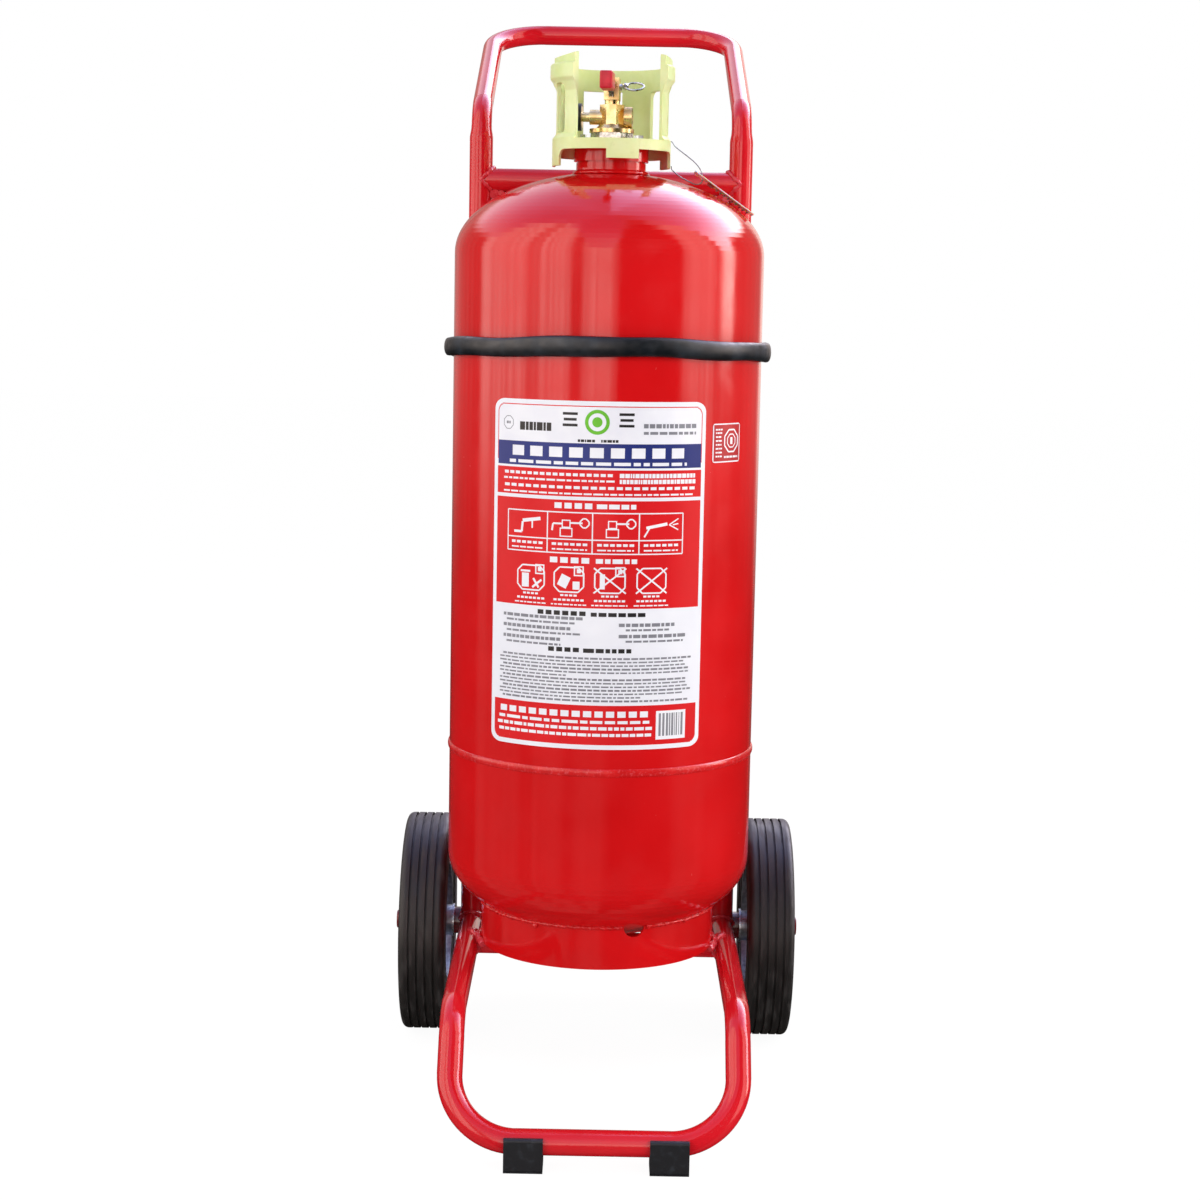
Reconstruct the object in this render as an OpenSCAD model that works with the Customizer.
// Wheeled fire extinguisher: a 45 litre steel cylinder welded into a tube
// trolley with two solid-tyred wheels, a front foot loop, a drawing handle,
// a brass lever valve and a moulded guard round the valve.
// Millimetres. Z is up, the front faces -Y, and the floor is z = 0.

/* [Cylinder] */
// Outer diameter of the cylinder
tank_d = 320; // [300:1:340]
// Wall thickness of the shells
tank_wall = 3; // [2:0.5:4]
// Depth of each pressed end
dome_h = 84; // [74:1:96]
// Length of the straight barrel
barrel_h = 629; // [560:1:700]
// Height of the round weld above the lower end of the barrel
weld_h = 115; // [80:1:180]
// Width of the weld bead
weld_w = 8; // [5:0.5:12]
// How far the weld bead stands proud
weld_proud = 1.8; // [1:0.1:3]
// Outer diameter of the base ring under the cylinder
skirt_d = 248; // [220:1:250]
// Wall thickness of the base ring
skirt_wall = 3; // [2:0.5:5]
// Height from the base ring's lower edge to the lower end of the barrel
skirt_to_barrel = 97.5; // [92:0.5:110]
// Radius of the half-round drain notch in the base ring
drain_r = 11; // [6:0.5:14]
// Direction of the drain notch, from the front towards the right
drain_turn = 18; // [-40:1:40]

/* [Neck] */
// Outer diameter of the neck flange
neck_flange_d = 77; // [72:0.5:84]
// Outer diameter of the neck below its groove
neck_d = 72; // [64:0.5:72]
// Height of the neck flange
neck_flange_h = 17.5; // [14:0.5:24]
// Height of the neck's lower part above the top of the dome
neck_low_h = 9; // [7:0.5:14]
// Height of the groove under the flange
neck_groove_h = 1.5; // [1:0.5:3]
// Diameter of the neck's bore
neck_bore_d = 36.4; // [30:0.2:40]
// Outer diameter of the siphon tube
siphon_d = 16; // [12:0.5:18]
// Wall thickness of the siphon tube
siphon_wall = 1.5; // [1:0.25:2.5]
// Gap between the siphon tube and the bottom of the cylinder
siphon_gap = 18; // [10:1:40]

/* [Buffer ring] */
// Height of the buffer ring's middle above the round weld
buffer_z = 416; // [300:1:480]
// How far the buffer ring stands out from the cylinder
buffer_t = 9.7; // [6:0.1:12]
// Height of the buffer ring's section
buffer_h = 20; // [14:1:26]
// Rise of the ring towards the front, in degrees
buffer_tilt = 2.4; // [0:0.1:4]

/* [Labels] */
// Height of the front label
label_h = 346; // [250:1:380]
// Angle that the front label spans, in degrees
label_angle = 81.8; // [60:0.2:90]
// Middle of the front label, in degrees to the right
label_turn = -2.8; // [-5:0.1:5]
// Height of the front label's lower edge above the round weld
label_z = 24; // [10:1:60]
// Thickness of the labels
label_t = 0.4; // [0.3:0.05:0.8]
// Radius of the front label's corners
label_corner = 10; // [4:1:20]
// Radius of the side label's corners
side_label_corner = 3; // [1:0.5:6]
// Height of the side label
side_label_h = 39; // [20:1:60]
// Angle that the side label spans, in degrees
side_label_angle = 15.5; // [8:0.5:18]
// Middle of the side label, in degrees to the right
side_label_turn = 49.3; // [48:0.1:54]
// Height of the side label's lower edge above the round weld
side_label_z = 309; // [200:1:330]

/* [Trolley frame] */
// Diameter of the frame tubes
tube_d = 25; // [22:0.5:28]
// Wall thickness of the frame tubes
tube_wall = 1.5; // [1:0.25:2.5]
// Distance from the middle to each side tube
side_x = 139.5; // [136:0.5:150]
// Height of the arms' centre line above the floor
arm_z = 128; // [124:1:150]
// Distance from the cylinder's axis to the front end of the arms
arm_reach = 208; // [190:1:240]
// Bend radius between the arms and the legs
knee_r = 50; // [40:1:60]
// Lean of the legs from the vertical, in degrees
leg_lean = 37; // [25:1:45]
// Bend radius of the foot loop's lower corners
foot_corner_r = 66; // [50:1:80]
// Height of the foot bar's centre line above the floor
foot_bar_z = 25.6; // [22:0.2:34]
// Distance of the seat tube behind the cylinder's axis
seat_y = 18; // [-20:1:60]
// Height of the top crossbar's centre line above the dome below it
crossbar_over = 14.07; // [13.7:0.01:24]

/* [Drawing handle] */
// Diameter of the handle tube
handle_d = 21.9; // [18:0.1:22]
// Wall thickness of the handle tube
handle_wall = 1.5; // [1:0.25:2.5]
// Height of the uprights' upper ends above the top crossbar
upright_above = 43; // [35:1:80]
// Length of the handle tube inside each upright
handle_insert = 30; // [20:1:30]
// Bend radius at the handle's kink
kink_r = 40; // [30:1:60]
// Rise of the handle behind its kink, in degrees
handle_rise = 21.5; // [10:0.5:45]
// Straight length behind the kink
handle_run = 213; // [150:1:260]
// Bend radius of the handle's corners
handle_corner_r = 60; // [40:1:75]

/* [Foot pads] */
// Distance of the left pad from the middle
left_pad_x = 66; // [30:1:70]
// Distance of the right pad from the middle
right_pad_x = 73; // [30:1:76]
// Width of each pad
pad_w = 37.5; // [25:0.5:45]
// Rubber in front of and behind the foot bar
pad_wall = 4; // [3:0.5:6]
// Height of each pad
pad_h = 33.5; // [27:0.5:34]

/* [Axle and wheels] */
// Diameter of the axle
axle_d = 20; // [16:0.5:22]
// Distance of the axle behind the cylinder's axis
axle_y = 130; // [126:1:150]
// Diameter of the wheels
wheel_d = 242; // [236:1:250]
// Distance from the middle to each wheel's centre plane
wheel_x = 190; // [188:1:200]
// Width of the tyres
tyre_w = 50; // [44:1:52]
// Inner radius of the tyres
tyre_bore_r = 66; // [60:1:74]
// Radius of the tyre's shoulders
shoulder = 7; // [4:0.5:9]
// Number of grooves in the tread
groove_count = 4; // [2:1:5]
// Width of a tread groove
groove_w = 2.6; // [1.5:0.1:3.5]
// Depth of a tread groove
groove_deep = 3; // [1.5:0.1:4]
// Thickness of the wheel's steel
rim_wall = 2.5; // [2:0.25:3.5]
// Outer diameter of the hub tube
hub_d = 34; // [30:0.5:38]
// Length of the hub
hub_w = 54; // [52:1:58]
// Outer diameter of the plastic bush in the hub
bush_d = 27; // [25:0.5:28]
// Thickness of the axle washers
washer_t = 2.2; // [1.5:0.1:3]
// Diameter of the axle washers
washer_d = 38; // [32:0.5:44]
// Length of the collars on the axle
collar_w = 7; // [4:0.5:8]
// Diameter of the collars on the axle
collar_d = 30; // [26:0.5:34]
// Diameter of the cotter pins
cotter_d = 4; // [3:0.2:5]
// Axle end beyond the cotter pin
axle_tail = 5; // [3:0.5:8]

/* [Valve guard] */
// Outer diameter of the guard at its base
guard_d = 122; // [118:0.5:126]
// Wall thickness of the guard
guard_wall = 3; // [2:0.25:4]
// Thickness of the guard's floor
guard_floor = 4; // [3:0.5:6]
// How far the posts are drawn in from the base
post_inset = 3; // [1:0.5:4]
// Depth of the front skirt below the guard's floor
guard_skirt = 6.6; // [4:0.2:10]
// Depth of the side feet below the guard's floor
guard_foot = 23; // [16:0.5:25]
// Depth of the front tab below the guard's floor
guard_tab = 16; // [12:0.5:18]
// Height of the windows above the guard's floor
window_h = 54; // [46:0.5:60]
// Height of the upper band
band_h = 24; // [18:0.5:30]
// How far the front posts rise above the band
ear_h = 8; // [4:0.5:12]
// How far the grip lip stands out from the band
lip = 3; // [1:0.5:4]
// Half angle of the front opening
front_half = 42.5; // [36:0.5:48]
// Angle that each front post spans
front_post = 17; // [12:0.5:20]
// Angle of the slot beside each front post
post_slot = 12.8; // [8:0.2:14]
// Angle of the rib behind each slot
side_rib = 9.2; // [6:0.2:10]
// Angle of each side window
side_window = 41.8; // [38:0.2:44]
// Half angle of the rear window
rear_half = 25.5; // [20:0.5:30]
// Turn of the guard on the neck, in degrees
guard_turn = 8; // [4:0.5:10]
// Angle between each of the guard's screws and the sideways axis, in degrees
screw_turn = 32.6; // [25:0.1:40]
// Radius of the circle that the screws are on
screw_circle_r = 32.5; // [30:0.5:33]
// Diameter of the screws
screw_d = 6; // [5:0.5:6]

/* [Valve] */
// Turn of the valve on the neck, in degrees
valve_turn = -5; // [-8:0.5:0]
// Size of the steel nut across its flats
nut_flats = 38; // [34:0.5:40]
// Height of the steel nut
nut_h = 12; // [8:0.5:16]
// Diameter of the nut's spigot in the neck
spigot_d = 36; // [28:0.5:36.2]
// Diameter of the brass base flange
base_flange_d = 46; // [40:0.5:48]
// Height of the brass base flange
base_flange_h = 4; // [3:0.5:6]
// Size of the valve body across its flats
body_flats = 24.6; // [22:0.2:28]
// Height of the valve body
body_h = 24.5; // [22:0.5:30]
// Diameter of the tower above the body
tower_d = 15.4; // [14:0.2:18]
// Height of the tower below the lever's slot
tower_h = 7.5; // [6:0.5:12]
// Height of the cheeks beside the lever
cheek_h = 19; // [18:0.5:22]
// Length of the cheeks to the front of the pivot
cheek_front = 14; // [13:0.5:18]
// Length of the cheeks behind the pivot
cheek_back = 9; // [8:0.5:14]
// Diameter of the stem
stem_d = 5; // [4:0.5:6]
// Travel of the stem
stem_travel = 4; // [3:0.5:4]
// Diameter of the outlet boss
outlet_d = 15.2; // [13:0.2:18]
// Height of the outlet and the gauge above the base flange
outlet_z = 12; // [10:0.5:14]
// Length of the outlet boss from the valve's axis
outlet_boss = 22.9; // [20:0.1:25]
// Diameter of the threaded nipple under the dust cap
nipple_d = 22; // [18:0.5:24]
// Diameter of the dust cap
cap_d = 28; // [26:0.5:29]
// Length of the dust cap
cap_w = 15; // [12:0.5:18]

/* [Lever and safety pin] */
// Thickness of the lever
lever_t = 5; // [4:0.5:6]
// Height of the lever's bar
lever_h = 12; // [10:0.5:13]
// Length of the lever from its pivot
lever_len = 76; // [60:1:90]
// Radius of the cam at rest
cam_low = 6; // [5:0.5:6.5]
// Length of the red sleeve
sleeve_len = 50; // [35:1:55]
// Width of the red sleeve
sleeve_w = 14.4; // [12:0.2:16]
// Rubber above and below the lever
sleeve_wall = 1.6; // [1:0.2:2.5]
// Diameter of the pivot pin
pivot_d = 4; // [3:0.5:5]
// Diameter of the safety pin
safety_d = 3; // [2:0.5:3.5]
// Distance from the pivot to the safety pin
safety_reach = 9.5; // [9:0.5:10]
// Outer diameter of the pull ring
pull_ring_d = 21; // [18:0.5:26]
// Wire diameter of the pull ring
ring_wire = 2; // [1.5:0.1:2.5]
// Tilt of the pull ring, in degrees
ring_tilt = 27; // [0:1:60]

/* [Pressure gauge] */
// Diameter of the gauge case
gauge_d = 22; // [20:0.5:24]
// Depth of the gauge case
gauge_w = 8; // [7:0.5:10]
// Distance from the valve's axis to the back of the gauge
gauge_x = 13; // [12.5:0.5:15]
// Diameter of the needle's arbor
arbor_d = 1.6; // [1.2:0.1:2]

/* [Tag] */
// Length of the tag
tag_len = 75; // [60:1:80]
// Width of the tag
tag_w = 48; // [30:1:54]
// Thickness of the tag
tag_t = 0.8; // [0.6:0.1:1.5]
// Slope of the tag, in degrees
tag_slope = 35; // [34:1:38]
// Diameter of the tag's hole
tag_hole_d = 4; // [3:0.5:6]
// Thickness of the tag's wire
wire_d = 1.2; // [0.8:0.1:1.6]

/* [Fits] */
// Radial gap of a shaft that turns or slides
running_gap = 0.06; // [0.02:0.01:0.1]
// Gap between welded or seated faces that are curved
seat_gap = 0.02; // [0.01:0.01:0.05]
// Film of glue under the labels
label_gap = 0.1; // [0.05:0.01:0.2]
// Gap between pieces that move past each other
move_gap = 0.3; // [0.2:0.05:0.5]
// Gap between the uprights and the barrel, filled by the weld
upright_gap = 0.3; // [0.2:0.05:0.6]

/* [Hidden] */
$fn = 64;

// Bends are this much thinner than the straight tube, which laps into them
bend_draw = 0.12;
bend_lap = 0.6;

tank_r = tank_d / 2;
tube_r = tube_d / 2;
handle_r = handle_d / 2;
axle_r = axle_d / 2;
axle_z = wheel_d / 2;

// Heights of the cylinder, from the base ring's seat upwards
skirt_z = arm_z + tube_r + seat_gap;
barrel_z = skirt_z + skirt_to_barrel;
barrel_top = barrel_z + barrel_h;
weld_z = barrel_z + weld_h;
dome_top = barrel_top + dome_h;
dome_steps = 24;

// Height of a pressed end at radius r, from its rim, for a shell of radius big and depth deep
function dome_at(r, big, deep) = deep * sqrt(max(0, 1 - pow(r / big, 2)));

// The uprights lie against the rear sides of the barrel
upright_y = sqrt(pow(tank_r + tube_r + upright_gap, 2) - pow(side_x, 2));
bar_z = barrel_top + dome_at(upright_y, tank_r, dome_h) + crossbar_over;
upright_top = bar_z + upright_above;

// Foot loop: the arms bend down into leaning legs, joined by the foot bar
knee_turn = 90 - leg_lean;
knee_y = -arm_reach - knee_r * sin(knee_turn);
knee_z = arm_z - knee_r * (1 - cos(knee_turn));
leg_len = (knee_z - foot_bar_z) / cos(leg_lean) - foot_corner_r;
foot_bar_y = knee_y - (leg_len + foot_corner_r) * sin(leg_lean);

// Drawing handle: it bends back at the kink and closes in the grip bar
kink_turn = 90 - handle_rise;
kink_y = upright_y + kink_r * (1 - cos(kink_turn));
kink_from = upright_top + 2;
kink_z = kink_from + kink_r * sin(kink_turn);
grip_y = kink_y + (handle_run + handle_corner_r) * cos(handle_rise);

// The part stands with the middle of its length at y = 0
front_y = foot_bar_y - tube_r - pad_wall - move_gap;
back_y = grip_y + handle_r;
shift_y = -(front_y + back_y) / 2;

// Stations along the axle, outwards from the middle
hub_in = wheel_x - hub_w / 2;
hub_out = wheel_x + hub_w / 2;
washer_in = hub_in - move_gap - washer_t;
washer_out = hub_out + move_gap;
cotter_x = washer_out + washer_t + cotter_d / 2 + move_gap;
axle_half = cotter_x + cotter_d / 2 + axle_tail;
bead_half = 20;
flange_r = tyre_bore_r + 5;

// Heights of the neck, the guard and the valve
neck_top = dome_top + neck_low_h + neck_groove_h + neck_flange_h;
floor_top = neck_top + guard_floor;
guard_r = guard_d / 2;
post_r = guard_r - post_inset;
window_top = floor_top + window_h;
band_top = window_top + band_h;
nut_top = neck_top + nut_h;
body_z = nut_top + base_flange_h;
body_top = nut_top + body_h + base_flange_h;
slot_z = body_top + tower_h;
cam_high = cam_low + stem_travel;
cam_deep = max([for (a = [0 : 2 : 40]) (cam_low + stem_travel * a / 90) * cos(a)]);
pivot_z = slot_z + cam_high + 0.5;
stem_top = pivot_z - cam_deep - move_gap;
port_z = body_z + outlet_z;
nipple_x = outlet_boss + 7.8;
slot_w = lever_t + 2 * move_gap;
bolt_head_h = 5;
needle_len = 7.5;

// Slot and window stations round the guard, from the front
slot_from = front_half + front_post;
rib_from = slot_from + post_slot;
window_from = rib_from + side_rib;
window_to = window_from + side_window;

// Tag and its wire loop, relative to the cylinder's axis and the top of the dome
tag_hole = [94, 0, -3.1];
tag_before = 9.8;
wire_points = [
    [54, 6.2, 35.4], [58.2, 5.6, 36.1], [62.4, 5, 34.7], [65, 4, 31], [69, 3, 27.5], [75, 1.5, 23],
    [81, 0.5, 18.5], [87, 0, 13.5], [91.5, 0, 8], [94, 0, 2.5], [94.6, 0, -3.1],
    [92.5, 0.5, -7], [88, 1, -8], [82, 1.5, -6], [76, 2, -3], [70, 2, 0.5], [65.5, 1.5, 4],
    [62.5, 1, 7], [61.9, 0.8, 10]
];

module placed() {
    translate([0, shift_y, 0]) children();
}

module on_valve() {
    placed() rotate([0, 0, valve_turn]) children();
}

module on_guard() {
    placed() rotate([0, 0, guard_turn]) children();
}

// A piece at the side: side is -1 on the left and 1 on the right
module on_side(side) {
    placed() mirror([side < 0 ? 1 : 0, 0, 0]) children();
}

// Part of a ring between two directions, counted from the front towards the right
module sector(r_in, r_out, z_low, z_high, from, to) {
    rotate([0, 0, from - 90])
        rotate_extrude(angle = to - from)
            translate([r_in, z_low])
                square([r_out - r_in, z_high - z_low]);
}

module ring(r_in, r_out, height) {
    difference() {
        cylinder(h = height, r = r_out);
        translate([0, 0, -1]) cylinder(h = height + 2, r = r_in);
    }
}

// Half profile of a shell: a barrel of length straight, closed by a pressed end above it
module shell_profile(straight, hole_r) {
    inner_r = tank_r - tank_wall;
    inner_h = dome_h - tank_wall;
    hole_part = asin(hole_r / tank_r);
    outer = [for (i = [0 : dome_steps])
        let (a = 90 - (90 - hole_part) * i / dome_steps, r = tank_r * sin(a))
        [r, straight + dome_at(r, tank_r, dome_h)]];
    inner_part = asin(hole_r / inner_r);
    inner = [for (i = [0 : dome_steps])
        let (a = inner_part + (90 - inner_part) * i / dome_steps, r = inner_r * sin(a))
        [r, straight + dome_at(r, inner_r, inner_h)]];
    polygon(concat([[inner_r, 0], [tank_r, 0]], outer, inner));
}

module upper_shell() {
    color("red") placed() translate([0, 0, weld_z])
        rotate_extrude($fn = 128)
            shell_profile(barrel_top - weld_z, neck_d / 2 + seat_gap);
}

module lower_shell() {
    color("red") placed() translate([0, 0, weld_z]) mirror([0, 0, 1])
        rotate_extrude($fn = 128)
            shell_profile(weld_h, 0.01);
}

module girth_weld() {
    color("red") placed() translate([0, 0, weld_z]) difference() {
        rotate_extrude($fn = 128)
            polygon([for (a = [-90 : 15 : 90])
                [tank_r + weld_proud * cos(a), weld_w / 2 * sin(a)]]);
        for (side = [-1, 1])
            translate([side * side_x, upright_y, -weld_w]) stick(tube_r + seat_gap, 2 * weld_w);
    }
}

module base_ring() {
    r_out = skirt_d / 2;
    r_in = r_out - skirt_wall;
    top_out = skirt_to_barrel - dome_at(r_out, tank_r, dome_h) - seat_gap;
    top_in = skirt_to_barrel - dome_at(r_in, tank_r, dome_h) - 0.2;
    color("red") placed() translate([0, 0, skirt_z])
        difference() {
            rotate_extrude($fn = 128)
                polygon([[r_in, 0], [r_out, 0], [r_out, top_out], [r_in, top_in]]);
            rotate([0, 0, drain_turn]) translate([0, 0, top_out])
                rotate([90, 0, 0]) translate([0, 0, r_in - 12])
                    cylinder(h = skirt_wall + 24, r = drain_r);
        }
}

module neck() {
    low_r = neck_d / 2;
    flange = neck_flange_d / 2;
    base = dome_top - 6;
    groove = dome_top + neck_low_h;
    fillet_r = low_r + 5;
    fillet_z = barrel_top + dome_at(fillet_r, tank_r, dome_h) + seat_gap;
    root_z = barrel_top + dome_at(low_r, tank_r, dome_h) + seat_gap;
    color("red") placed() difference() {
        rotate_extrude()
            polygon([
                [neck_bore_d / 2, base], [low_r, base], [low_r, root_z], [fillet_r, fillet_z + 0.3],
                [low_r, root_z + 4], [low_r, groove], [low_r - 1, groove],
                [low_r - 1, groove + neck_groove_h], [flange, groove + neck_groove_h],
                [flange, neck_top - 1], [flange - 1, neck_top], [neck_bore_d / 2, neck_top]
            ]);
        screw_places()
            translate([0, 0, neck_top - 12]) cylinder(h = 13, d = screw_d + 2 * running_gap, $fn = 24);
    }
}

module screw_places() {
    for (side = [0, 180], turn = [-screw_turn, screw_turn])
        rotate([0, 0, side + turn]) translate([screw_circle_r, 0, 0]) children();
}

module siphon_tube() {
    low = barrel_z - dome_h + tank_wall + siphon_gap;
    color("silver") placed() translate([0, 0, low])
        ring(siphon_d / 2 - siphon_wall, siphon_d / 2, nut_top - 3 - low);
}

// Outline of the buffer ring: the barrel and both uprights, wrapped together
module wrapped(grow) {
    hull() {
        circle(r = tank_r + grow, $fn = 96);
        for (side = [-1, 1])
            translate([side * side_x, upright_y]) circle(r = tube_r + grow, $fn = 32);
    }
}

module buffer_ring() {
    lean = tan(buffer_tilt);
    edge = 3;
    color("dimgray") placed() translate([0, 0, weld_z + buffer_z])
        multmatrix([[1, 0, 0, 0], [0, 1, 0, 0], [0, -lean, 1, 0], [0, 0, 0, 1]])
            difference() {
                union() {
                    linear_extrude(height = buffer_h - 2 * edge, center = true)
                        wrapped(buffer_t + move_gap);
                    linear_extrude(height = buffer_h, center = true)
                        wrapped(buffer_t + move_gap - edge);
                }
                linear_extrude(height = buffer_h + 2, center = true) wrapped(move_gap);
            }
}

// Printed film that is bent round the barrel and has rounded corners
module film(z_low, height, middle, angle, corner) {
    inner = tank_r + label_gap;
    spare = 5;
    intersection() {
        sector(inner, inner + label_t, z_low - spare, z_low + height + spare,
            middle - angle / 2 - spare, middle + angle / 2 + spare, $fn = 128);
        rotate([0, 0, middle]) translate([0, 0, z_low + height / 2]) rotate([90, 0, 0])
            linear_extrude(height = tank_r + spare) offset(r = corner, $fn = 32)
                square([2 * tank_r * sin(angle / 2) - 2 * corner, height - 2 * corner], center = true);
    }
}

module front_label() {
    color("white") placed() film(weld_z + label_z, label_h, label_turn, label_angle, label_corner);
}

module side_label() {
    color("firebrick") placed()
        film(weld_z + side_label_z, side_label_h, side_label_turn, side_label_angle,
            side_label_corner);
}

// Straight rod along +Z, used for the outside of a tube and for its bore
module stick(r, length) {
    cylinder(h = length, r = r);
}

// Straight rod that laps into the bends at its ends
module lapped(r, length) {
    translate([0, 0, -bend_lap]) cylinder(h = length + 2 * bend_lap, r = r);
}

// Bend in the XY plane about the origin, drawn down a hair by the bending
module bend(r, bend_r, turn) {
    rotate_extrude(angle = turn) translate([bend_r, 0]) circle(r = r - bend_draw);
}

module arm_line(r, extra) {
    translate([side_x, axle_y + extra, arm_z]) rotate([90, 0, 0])
        stick(r, axle_y + extra + arm_reach + bend_lap);
}

module upright() {
    difference() {
        translate([side_x, upright_y, arm_z]) ring(tube_r - tube_wall, tube_r, upright_top - arm_z);
        arm_line(tube_r + seat_gap, 5);
    }
}

module left_upright() {
    color("crimson") on_side(-1) upright();
}

module right_upright() {
    color("crimson") on_side(1) upright();
}

// A tube across the frame, cut to the tubes that it is welded to
module cross_tube(y, z) {
    translate([-side_x, y, z]) rotate([0, 90, 0])
        ring(tube_r - tube_wall, tube_r, 2 * side_x);
}

module top_crossbar() {
    color("crimson") placed() difference() {
        cross_tube(upright_y, bar_z);
        for (side = [-1, 1])
            translate([side * side_x, upright_y, bar_z - tube_d]) stick(tube_r + seat_gap, 2 * tube_d);
    }
}

module seat_tube() {
    color("crimson") placed() difference() {
        cross_tube(seat_y, arm_z);
        for (side = [0, 1]) mirror([side, 0, 0]) arm_line(tube_r + seat_gap, 0);
    }
}

// Centre line of the foot loop, at radius r
module foot_line(r, extra) {
    for (side = [0, 1]) mirror([side, 0, 0]) {
        arm_line(r, extra);
        translate([side_x, -arm_reach, arm_z - knee_r]) rotate([180, -90, 0])
            bend(r, knee_r, knee_turn);
    }
    translate([0, knee_y, knee_z]) rotate([-leg_lean, 0, 0]) {
        for (side = [0, 1]) mirror([side, 0, 0]) {
            translate([side_x, 0, -leg_len]) lapped(r, leg_len);
            translate([side_x - foot_corner_r, 0, -leg_len]) rotate([-90, 0, 0])
                bend(r, foot_corner_r, 90);
        }
        translate([foot_corner_r - side_x, 0, -leg_len - foot_corner_r]) rotate([0, 90, 0])
            lapped(r, 2 * (side_x - foot_corner_r));
    }
}

module foot_loop() {
    color("crimson") placed() difference() {
        foot_line(tube_r, 0);
        foot_line(tube_r - tube_wall, 1);
        translate([-axle_half, axle_y, axle_z]) rotate([0, 90, 0]) stick(axle_r + seat_gap, 2 * axle_half);
    }
}

// Centre line of the drawing handle, at radius r
module handle_line(r, extra) {
    low = upright_top - handle_insert - extra;
    for (side = [0, 1]) mirror([side, 0, 0]) {
        translate([side_x, upright_y, low]) stick(r, kink_from - low + bend_lap);
        translate([side_x, upright_y + kink_r, kink_from]) rotate([90, 0, -90])
            bend(r, kink_r, kink_turn);
    }
    translate([0, kink_y, kink_z]) rotate([-kink_turn, 0, 0]) {
        for (side = [0, 1]) mirror([side, 0, 0]) {
            translate([side_x, 0, 0]) lapped(r, handle_run);
            translate([side_x - handle_corner_r, 0, handle_run]) rotate([90, 0, 0])
                bend(r, handle_corner_r, 90);
        }
        translate([handle_corner_r - side_x, 0, handle_run + handle_corner_r]) rotate([0, 90, 0])
            lapped(r, 2 * (side_x - handle_corner_r));
    }
}

module drawing_handle() {
    color("crimson") placed() difference() {
        handle_line(handle_r, 0);
        handle_line(handle_r - handle_wall, 1);
    }
}

module foot_pad(pad_x) {
    depth = tube_d + 2 * (pad_wall + move_gap);
    color("dimgray") difference() {
        union() {
            translate([pad_x - pad_w / 2, foot_bar_y, pad_h / 2]) rotate([0, 0, 90])
                rounded_block(depth, pad_w, pad_h, 3);
            translate([pad_x - pad_w / 2, foot_bar_y - depth / 2 + 0.5, 0])
                cube([pad_w, depth - 1, pad_h / 2]);
        }
        translate([pad_x - pad_w, foot_bar_y, foot_bar_z]) rotate([0, 90, 0])
            stick(tube_r + seat_gap, 2 * pad_w);
        translate([pad_x - pad_w, foot_bar_y - tube_r + 0.6, foot_bar_z])
            cube([2 * pad_w, tube_d - 1.2, pad_h]);
        translate([0, knee_y, knee_z]) rotate([-leg_lean, 0, 0])
            translate([side_x - foot_corner_r, 0, -leg_len]) rotate([-90, 0, 0])
                bend(tube_r + 2 * bend_draw + seat_gap, foot_corner_r, 90);
    }
}

module left_foot_pad() {
    on_side(-1) foot_pad(left_pad_x);
}

module right_foot_pad() {
    on_side(1) foot_pad(right_pad_x);
}

// A piece turned about the axle, starting at station x on the right-hand side
module on_axle(x) {
    translate([x, axle_y, axle_z]) rotate([0, 90, 0]) children();
}

module axle() {
    color("darkred") placed() difference() {
        on_axle(-axle_half) stick(axle_r, 2 * axle_half);
        for (side = [-1, 1])
            translate([side * cotter_x, axle_y, axle_z - axle_r - 1])
                stick(cotter_d / 2 + running_gap, axle_d + 2);
    }
}

module axle_collars() {
    color("darkred") placed() for (side = [0, 1]) mirror([side, 0, 0])
        on_axle(washer_in - collar_w) ring(axle_r + seat_gap, collar_d / 2, collar_w);
}

module axle_washers() {
    color("silver") placed() for (side = [0, 1], x = [washer_in, washer_out]) mirror([side, 0, 0])
        on_axle(x) ring(axle_r + running_gap, washer_d / 2, washer_t);
}

module cotter_pins() {
    eye_r = 5;
    rod = axle_d + 12;
    color("silver") placed() for (side = [-1, 1])
        translate([side * cotter_x, axle_y, axle_z - rod / 2]) {
            stick(cotter_d / 2, rod);
            translate([0, 0, rod + eye_r - 0.5]) rotate([90, 0, 90])
                rotate_extrude() translate([eye_r - 1, 0]) circle(r = cotter_d / 4, $fn = 24);
        }
}

// Half profile of the solid tyre, with radius along X and width along Y
module tyre_profile() {
    r_out = wheel_d / 2;
    half = tyre_w / 2;
    difference() {
        union() {
            translate([flange_r + 1, -half + 1.5])
                square([r_out - shoulder - flange_r - 1, tyre_w - 3]);
            translate([flange_r + 12, -half]) square([r_out - shoulder - flange_r - 12, tyre_w]);
            translate([r_out - shoulder - 1, -half + shoulder]) square([shoulder + 1, tyre_w - 2 * shoulder]);
            for (side = [-1, 1])
                translate([r_out - shoulder, side * (half - shoulder)]) circle(r = shoulder);
            translate([tyre_bore_r, -bead_half]) square([flange_r + 2 - tyre_bore_r, 2 * bead_half]);
        }
        for (i = [0 : groove_count - 1])
            translate([r_out - groove_deep, (i + 0.5 - groove_count / 2) * 36 / groove_count - groove_w / 2])
                square([groove_deep + 1, groove_w]);
    }
}

module wheel_turned() {
    on_axle(wheel_x) rotate_extrude($fn = 96) children();
}

module tyre() {
    color("dimgray") wheel_turned() tyre_profile();
}

module left_tyre() {
    on_side(-1) tyre();
}

module right_tyre() {
    on_side(1) tyre();
}

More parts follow.
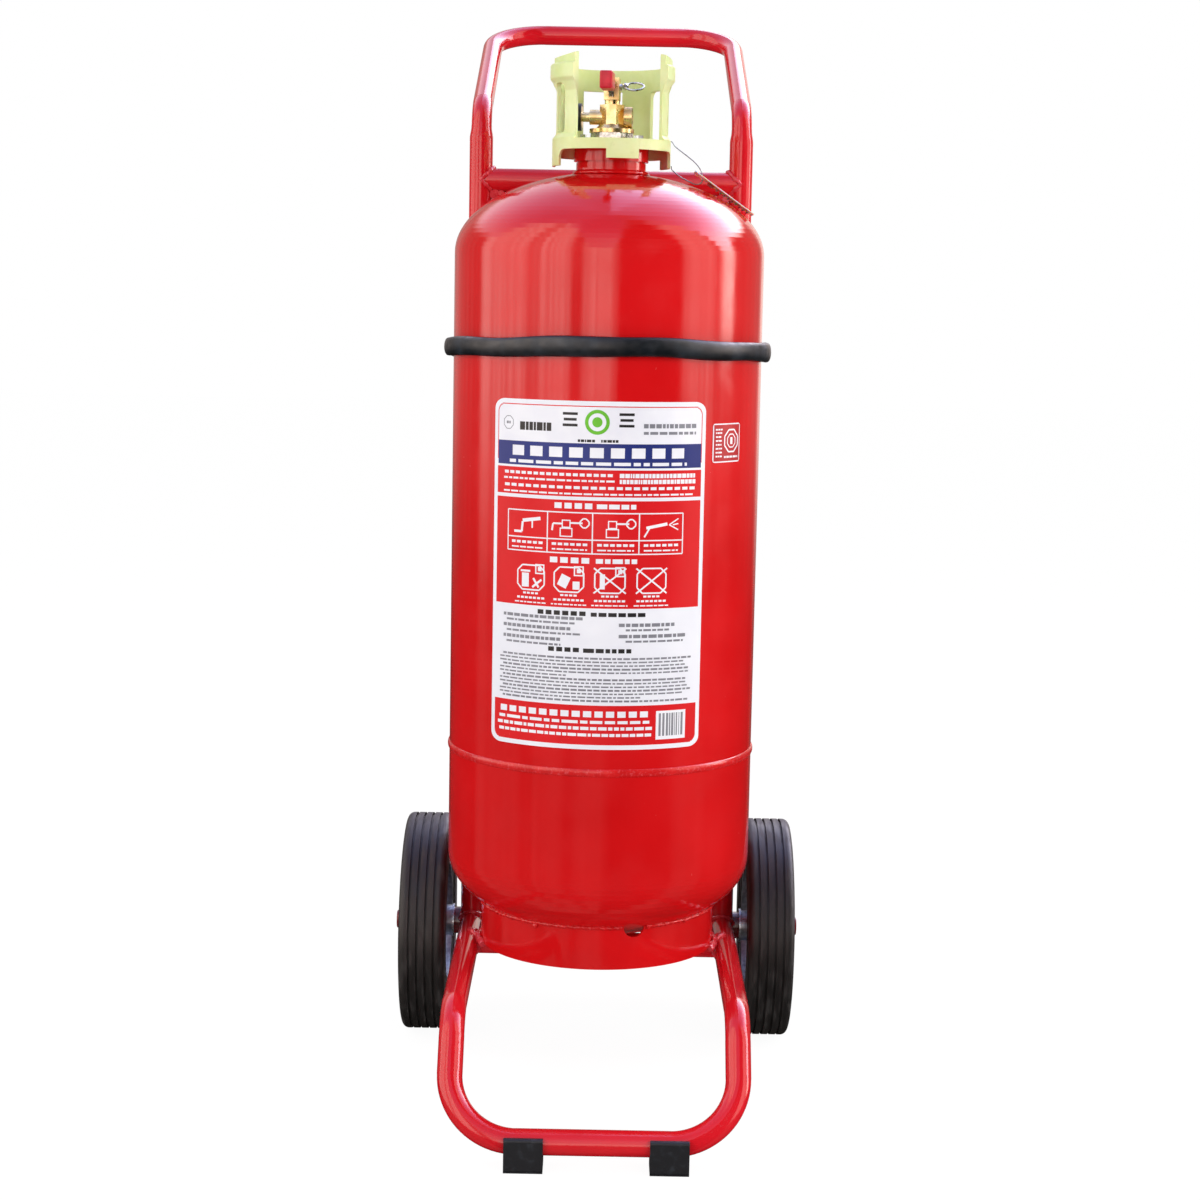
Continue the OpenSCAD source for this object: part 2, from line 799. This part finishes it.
// Pressed steel wheel: hub tube, dished disc and rim band with flanges
module rim_profile() {
    band_out = tyre_bore_r - seat_gap;
    band_in = band_out - rim_wall;
    side = bead_half + seat_gap + rim_wall;
    hub_r = hub_d / 2;
    hub_bore = bush_d / 2 + seat_gap;
    dish = 9;
    polygon([
        [hub_bore, -hub_w / 2], [hub_r, -hub_w / 2], [hub_r, -dish - rim_wall],
        [hub_r + 13, -dish - rim_wall], [hub_r + 25.5, 0], [band_in, 0],
        [band_in, -side], [flange_r, -side], [flange_r, rim_wall - side],
        [band_out, rim_wall - side], [band_out, side - rim_wall],
        [flange_r, side - rim_wall], [flange_r, side], [band_in, side],
        [band_in, rim_wall], [hub_r + 24, rim_wall], [hub_r + 12, -dish], [hub_r, -dish],
        [hub_r, hub_w / 2], [hub_bore, hub_w / 2]
    ]);
}

module rim() {
    color("silver") wheel_turned() rim_profile();
}

module left_rim() {
    on_side(-1) rim();
}

module right_rim() {
    on_side(1) rim();
}

module bush() {
    color("black") on_axle(hub_in) ring(axle_r + running_gap, bush_d / 2, hub_w);
}

module left_bush() {
    on_side(-1) bush();
}

module right_bush() {
    on_side(1) bush();
}

// The guard in section: floor, wide base, drawn-in posts, band and grip lip
module guard_profile() {
    low = neck_top - guard_foot;
    hole_r = base_flange_d / 2 + 1.5;
    inner = guard_r - guard_wall;
    post_in = post_r - guard_wall;
    grip = guard_r + lip;
    polygon([
        [hole_r, neck_top], [inner, neck_top], [inner, low], [guard_r, low],
        [guard_r, floor_top + 1], [post_r, floor_top + 5], [post_r, window_top - 8],
        [guard_r, window_top], [grip, window_top + 4], [grip, band_top - 3],
        [grip - 1.5, band_top - 1.5], [guard_r, band_top], [guard_r, band_top + ear_h],
        [post_in, band_top + ear_h], [post_in, floor_top], [hole_r, floor_top]
    ]);
}

// Cut through the guard's wall between two directions, on both sides
module side_cuts(z_low, z_high, from, to) {
    for (side = [0, 1]) mirror([side, 0, 0])
        sector(guard_r - 14, guard_r + 10, z_low, z_high, from, to);
}

// Block along -Y with rounded long edges, middle at x = 0 and z = 0
module rounded_block(w, depth, h, r) {
    translate([-w / 2 + r, -depth, -h / 2]) cube([w - 2 * r, depth, h]);
    translate([-w / 2, -depth, -h / 2 + r]) cube([w, depth, h - 2 * r]);
    for (x = [-1, 1], z = [-1, 1])
        translate([x * (w / 2 - r), 0, z * (h / 2 - r)]) rotate([90, 0, 0])
            cylinder(h = depth, r = r, $fn = 32);
}

// Rounded window through the guard's wall, between two directions
module window(from, to, z_low, z_high, r) {
    width = 2 * (guard_r - 2) * sin((to - from) / 2);
    rotate([0, 0, (from + to) / 2]) translate([0, 10 - guard_r, (z_low + z_high) / 2])
        rounded_block(width, 30, z_high - z_low, r);
}

module valve_guard() {
    skirt_low = neck_top - guard_skirt;
    far_low = neck_top - guard_foot - 1;
    ears = band_top + ear_h;
    ear_slope = 15.5;
    rib_deep = 8;
    foot_half = 17;
    foot_side = 12;
    ear_back = 4;
    color("yellowgreen") on_guard() difference() {
        union() {
            rotate_extrude($fn = 96) guard_profile();
            for (side = [0, 1], a = [front_half - 1, slot_from - 3]) mirror([side, 0, 0])
                sector(post_r - rib_deep, post_r - 1, floor_top - 1, band_top - 2, a, a + 4);
        }
        sector(guard_r - 14, guard_r + 10, floor_top, ears + 1, -front_half, front_half);
        sector(guard_r - 14, guard_r + 10, band_top, ears + 1, window_from - ear_back,
            360 - window_from + ear_back);
        window(180 - rear_half, 180 + rear_half, floor_top + 3, window_top, 8);
        for (side = [0, 1]) mirror([side, 0, 0]) {
            window(slot_from, rib_from, floor_top + 6, window_top + 2, 5);
            window(window_from, window_to, floor_top + 2, window_top, 8);
            translate([(guard_r - 4) * sin(front_half), -guard_r - 5, ears]) rotate([0, ear_slope, 0])
                translate([-20, 0, 0]) cube([80, guard_r, 30]);
            window(30, 90 - foot_half, far_low - 20, skirt_low, 9);
            window(90 + foot_half, 150, far_low - 20, skirt_low, 9);
        }
        sector(guard_r - 14, guard_r + 10, far_low, neck_top - guard_tab, -56, 56);
        side_cuts(far_low, skirt_low, 16, 90 - foot_side - foot_half);
        sector(guard_r - 14, guard_r + 10, far_low, skirt_low, 90 + foot_side + foot_half,
            270 - foot_side - foot_half);
        rotate([0, 0, -guard_turn]) screw_places()
            translate([0, 0, neck_top - 1])
                cylinder(h = guard_floor + 2, d = screw_d + 2 * running_gap, $fn = 24);
    }
}

module guard_screws() {
    color("silver") placed() screw_places() translate([0, 0, neck_top - 11]) {
        cylinder(h = 11 + guard_floor + 1, d = screw_d, $fn = 24);
        translate([0, 0, 11 + guard_floor]) cylinder(h = bolt_head_h, d = 11, $fn = 6);
    }
}

module steel_nut() {
    corners = nut_flats / cos(30);
    color("silver") on_valve() difference() {
        union() {
            translate([0, 0, neck_top]) intersection() {
                cylinder(h = nut_h, d = corners, $fn = 6);
                cylinder(h = nut_h, d1 = corners + 8, d2 = corners - 1);
            }
            translate([0, 0, dome_top]) cylinder(h = neck_top - dome_top, d = spigot_d);
        }
        translate([0, 0, dome_top - 1])
            cylinder(h = nut_top - dome_top + 2, r = siphon_d / 2 + seat_gap);
    }
}

// Round bore or boss that leaves the valve's axis sideways, from x1 to x2
module sideways(x1, x2, z) {
    translate([x1, 0, z]) rotate([0, 90, 0]) cylinder(h = x2 - x1, r = $r);
}

module valve_body() {
    nipple_len = cap_w - 4;
    color("goldenrod") on_valve() difference() {
        union() {
            translate([0, 0, nut_top]) cylinder(h = base_flange_h, d = base_flange_d);
            difference() {
                translate([0, 0, body_z - 0.5]) cylinder(h = 5.5, d1 = base_flange_d - 11, d2 = body_flats);
                sideways(gauge_x - move_gap, base_flange_d, port_z, $r = gauge_d / 2 + move_gap);
            }
            translate([0, 0, body_z]) rotate([0, 0, 22.5])
                cylinder(h = body_h, d = body_flats / cos(22.5), $fn = 8);
            translate([0, 0, body_top]) cylinder(h = tower_h, d = tower_d);
            translate([-tower_d / 2, -cheek_front, body_top + tower_h - 3])
                cube([tower_d, cheek_front + cheek_back, cheek_h + 3]);
            sideways(-outlet_boss, 0, port_z, $r = outlet_d / 2);
            sideways(-nipple_x, -outlet_boss, port_z, $r = 4.9);
            sideways(-nipple_x - nipple_len, -nipple_x, port_z, $r = nipple_d / 2);
            sideways(0, gauge_x - seat_gap, port_z, $r = 5);
        }
        translate([-slot_w / 2, -cheek_front - 1, slot_z])
            cube([slot_w, cheek_front + cheek_back + 2, cheek_h + 4]);
        translate([0, 0, nut_top + 8]) cylinder(h = slot_z - nut_top, r = stem_d / 2 + running_gap);
        translate([0, 0, nut_top - 1]) cylinder(h = 11, r = 6);
        sideways(-tower_d, tower_d, pivot_z, $r = pivot_d / 2 + running_gap);
        translate([0, -safety_reach, 0])
            sideways(-tower_d, tower_d, pivot_z, $r = safety_d / 2 + running_gap);
        sideways(-nipple_x - nipple_len - 1, 0, port_z, $r = 3);
    }
}

module valve_stem() {
    low = nut_top + 13;
    color("silver") on_valve() {
        translate([0, 0, low]) cylinder(h = stem_top - low, d = stem_d);
    }
}

module pivot_pin() {
    half = tower_d / 2;
    color("silver") on_valve() {
        sideways(-half - 2, half + 2, pivot_z, $r = pivot_d / 2);
        for (side = [0, 1]) mirror([side, 0, 0])
            sideways(half + 0.05, half + 2, pivot_z, $r = pivot_d / 2 + 1.5);
    }
}

// Side outline of the lever: cam round the pivot, bar to the front, open pin slot below
module lever_outline() {
    step = 10;
    cam = [for (a = [0 : step : 90])
        let (r = cam_low + stem_travel * a / 90)
        [r * sin(a), -r * cos(a)]];
    difference() {
        union() {
            polygon(concat([[0, lever_h / 2], [-cam_low, lever_h / 2], [-cam_low, 0]], cam,
                [[cam_high - 2, lever_h / 2]]));
            translate([-lever_len, -lever_h / 2]) square([lever_len, lever_h]);
        }
        circle(r = pivot_d / 2 + running_gap);
        difference() {
            circle(r = safety_reach + safety_d / 2 + move_gap);
            circle(r = safety_reach - safety_d / 2 - move_gap);
            translate([-30, safety_d / 2 + move_gap]) square([60, 30]);
            translate([0, -30]) square([30, 60]);
        }
    }
}

// Turn an outline, drawn with its x to the rear and its y up, into a plate in the valve's middle
module side_plate(thick) {
    rotate([90, 0, 90]) linear_extrude(height = thick, center = true) children();
}

module lever() {
    color("silver") on_valve() translate([0, 0, pivot_z]) side_plate(lever_t) lever_outline();
}

module lever_sleeve() {
    height = lever_h + 2 * sleeve_wall;
    past = 4;
    color("red") on_valve() translate([0, -lever_len - past, pivot_z]) difference() {
        translate([0, sleeve_len, 0]) rounded_block(sleeve_w, sleeve_len, height, 2.5);
        translate([-lever_t / 2 - seat_gap, past - seat_gap, -lever_h / 2 - seat_gap])
            cube([lever_t + 2 * seat_gap, sleeve_len, lever_h + 2 * seat_gap]);
    }
}

safety_left = -10.4;
safety_eye = 14;

module safety_pin() {
    color("silver") on_valve() translate([0, -safety_reach, 0]) difference() {
        union() {
            sideways(safety_left, safety_eye - 2, pivot_z, $r = safety_d / 2);
            translate([safety_eye, 0, pivot_z]) rotate([-90 + ring_tilt, 0, 0])
                cylinder(h = safety_d, r = 3.2, center = true, $fn = 32);
        }
        translate([safety_eye, 0, pivot_z]) rotate([-90 + ring_tilt, 0, 0])
            cylinder(h = 3 * safety_d, r = ring_wire / 2 + move_gap, center = true, $fn = 32);
    }
}

module pull_ring() {
    mean_r = (pull_ring_d - ring_wire) / 2;
    color("silver") on_valve() translate([safety_eye, -safety_reach, pivot_z])
        rotate([ring_tilt, 0, 0]) translate([mean_r, 0, 0])
            rotate_extrude() translate([mean_r, 0]) circle(r = ring_wire / 2, $fn = 24);
}

module dust_cap() {
    mouth = -nipple_x - 0.5;
    color("black") on_valve() difference() {
        sideways(mouth - cap_w, mouth, port_z, $r = cap_d / 2);
        sideways(mouth - cap_w + 3, mouth + 1, port_z, $r = nipple_d / 2 + running_gap);
    }
}

module gauge_case() {
    outer = gauge_d / 2;
    color("goldenrod") on_valve() difference() {
        sideways(gauge_x, gauge_x + gauge_w, port_z, $r = outer);
        sideways(gauge_x + 2, gauge_x + gauge_w + 1, port_z, $r = outer - 1.5);
    }
}

module gauge_dial() {
    color("white") on_valve() difference() {
        sideways(gauge_x + 2, gauge_x + 3, port_z, $r = gauge_d / 2 - 1.5 - seat_gap);
        sideways(gauge_x, gauge_x + 4, port_z, $r = arbor_d / 2 + running_gap);
    }
}

module gauge_needle() {
    disc_x = gauge_x + 3 + move_gap;
    color("black") on_valve() {
        sideways(gauge_x + 2.1, disc_x + 1, port_z, $r = arbor_d / 2);
        sideways(disc_x, disc_x + 0.6, port_z, $r = 1.6);
        translate([disc_x, -0.4, port_z]) cube([0.6, 0.8, needle_len]);
    }
}

module gauge_lens() {
    color("lightblue") on_valve()
        sideways(gauge_x + gauge_w - 1.6, gauge_x + gauge_w - 0.4, port_z,
            $r = gauge_d / 2 - 1.5 - seat_gap);
}

module tag() {
    color("white") placed() translate(tag_hole + [0, 0, dome_top]) rotate([0, tag_slope, 0])
        difference() {
            translate([-tag_before, -tag_w / 2, -tag_t / 2]) cube([tag_len, tag_w, tag_t]);
            cylinder(h = 4 * tag_t, d = tag_hole_d, center = true, $fn = 32);
        }
}

// Tube along points: each ring of the sweep stands square to the route
module wire_tube(points, r, sides) {
    count = len(points);
    ways = [for (i = [0 : count - 1])
        let (a = points[max(i - 1, 0)], b = points[min(i + 1, count - 1)])
        (b - a) / norm(b - a)];
    verts = [for (i = [0 : count - 1])
        let (t = ways[i], u = [0, 1, 0] - t * t[1], un = u / norm(u), v = cross(t, un))
        for (k = [0 : sides - 1])
            let (a = 360 * k / sides)
            points[i] + r * cos(a) * un + r * sin(a) * v];
    last = (count - 1) * sides;
    walls = [for (i = [0 : count - 2], k = [0 : sides - 1])
        let (n = (k + 1) % sides)
        [i * sides + k, i * sides + n, (i + 1) * sides + n, (i + 1) * sides + k]];
    first_end = [for (k = [sides - 1 : -1 : 0]) k];
    last_end = [for (k = [0 : sides - 1]) last + k];
    polyhedron(verts, concat(walls, [first_end, last_end]));
}

// Points on a smooth curve through the route
function between(p0, p1, p2, p3, t) =
    0.5 * (2 * p1 + (p2 - p0) * t + (2 * p0 - 5 * p1 + 4 * p2 - p3) * t * t
        + (3 * p1 - p0 - 3 * p2 + p3) * t * t * t);
wire_steps = 3;
wire_route = [for (i = [0 : len(wire_points) - 2], k = [0 : wire_steps - 1])
    between(wire_points[max(i - 1, 0)], wire_points[i], wire_points[i + 1],
        wire_points[min(i + 2, len(wire_points) - 1)], k / wire_steps)];

module tag_wire() {
    color("gray") placed() translate([0, 0, dome_top])
        wire_tube(concat(wire_route, [wire_points[len(wire_points) - 1]]), wire_d / 2, 8);
}

upper_shell();
lower_shell();
girth_weld();
base_ring();
neck();
siphon_tube();
buffer_ring();
front_label();
side_label();
left_upright();
right_upright();
top_crossbar();
seat_tube();
foot_loop();
drawing_handle();
left_foot_pad();
right_foot_pad();
axle();
axle_collars();
axle_washers();
cotter_pins();
left_tyre();
left_rim();
left_bush();
right_tyre();
right_rim();
right_bush();
valve_guard();
guard_screws();
steel_nut();
valve_body();
valve_stem();
pivot_pin();
lever();
lever_sleeve();
safety_pin();
pull_ring();
dust_cap();
gauge_case();
gauge_dial();
gauge_needle();
gauge_lens();
tag();
tag_wire();
